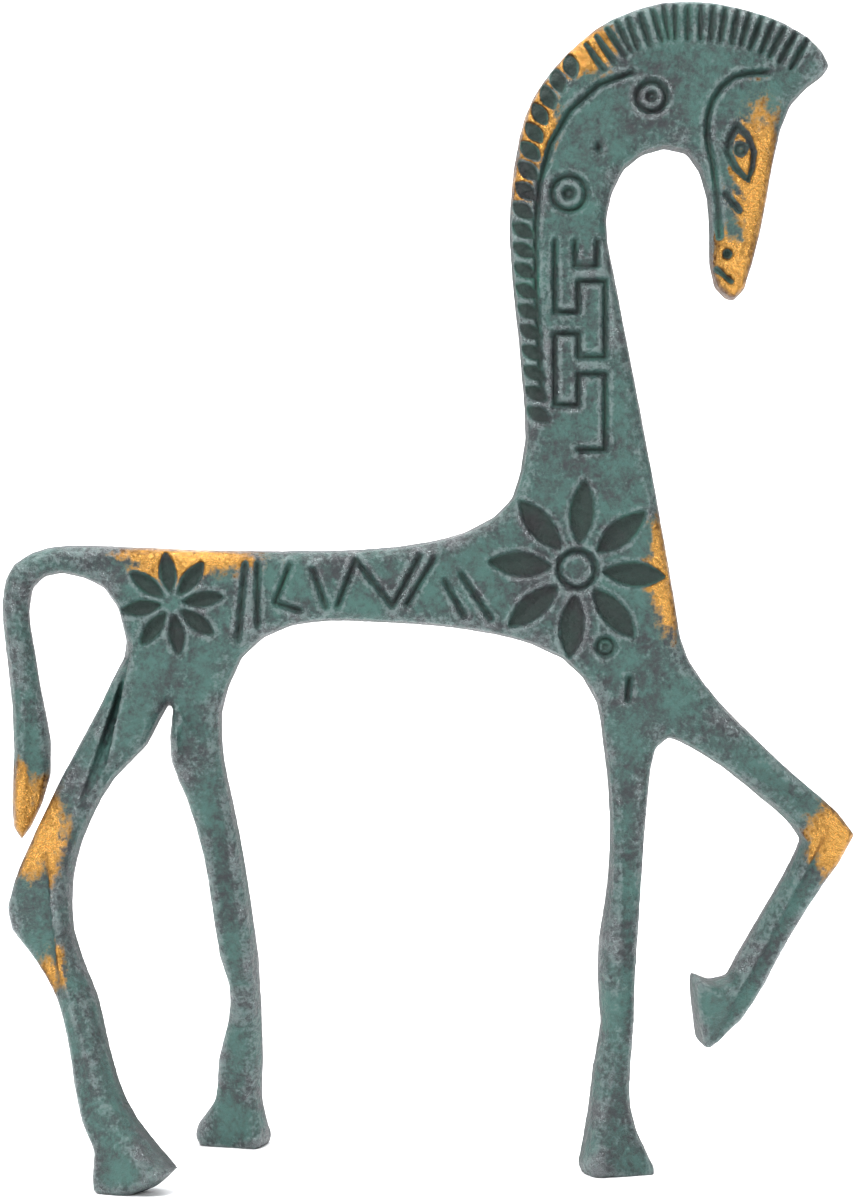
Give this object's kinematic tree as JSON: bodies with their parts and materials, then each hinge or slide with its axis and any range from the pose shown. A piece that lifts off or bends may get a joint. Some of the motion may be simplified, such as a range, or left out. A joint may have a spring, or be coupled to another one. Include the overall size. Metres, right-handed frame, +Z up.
{
  "type": "bronze horse statuette",
  "caption": "Slender flat-cast bronze horse with arched neck, incised key, rosette and mane ornament, loop tail and one raised foreleg, standing on its own hooves.",
  "frame": {"origin": "on the ground under the middle of the horse's bounding box", "axes": "+X the way the horse looks, -Y the ornamented front side, +Z up"},
  "size_m": [0.1278, 0.043, 0.1747],
  "materials": {
    "patinated_bronze": "cast bronze with dark blue-green patina, rubbed to gold along worn edges"
  },
  "bodies": {
    "root": {"horse": "patinated_bronze"}
  },
  "joints": []
}
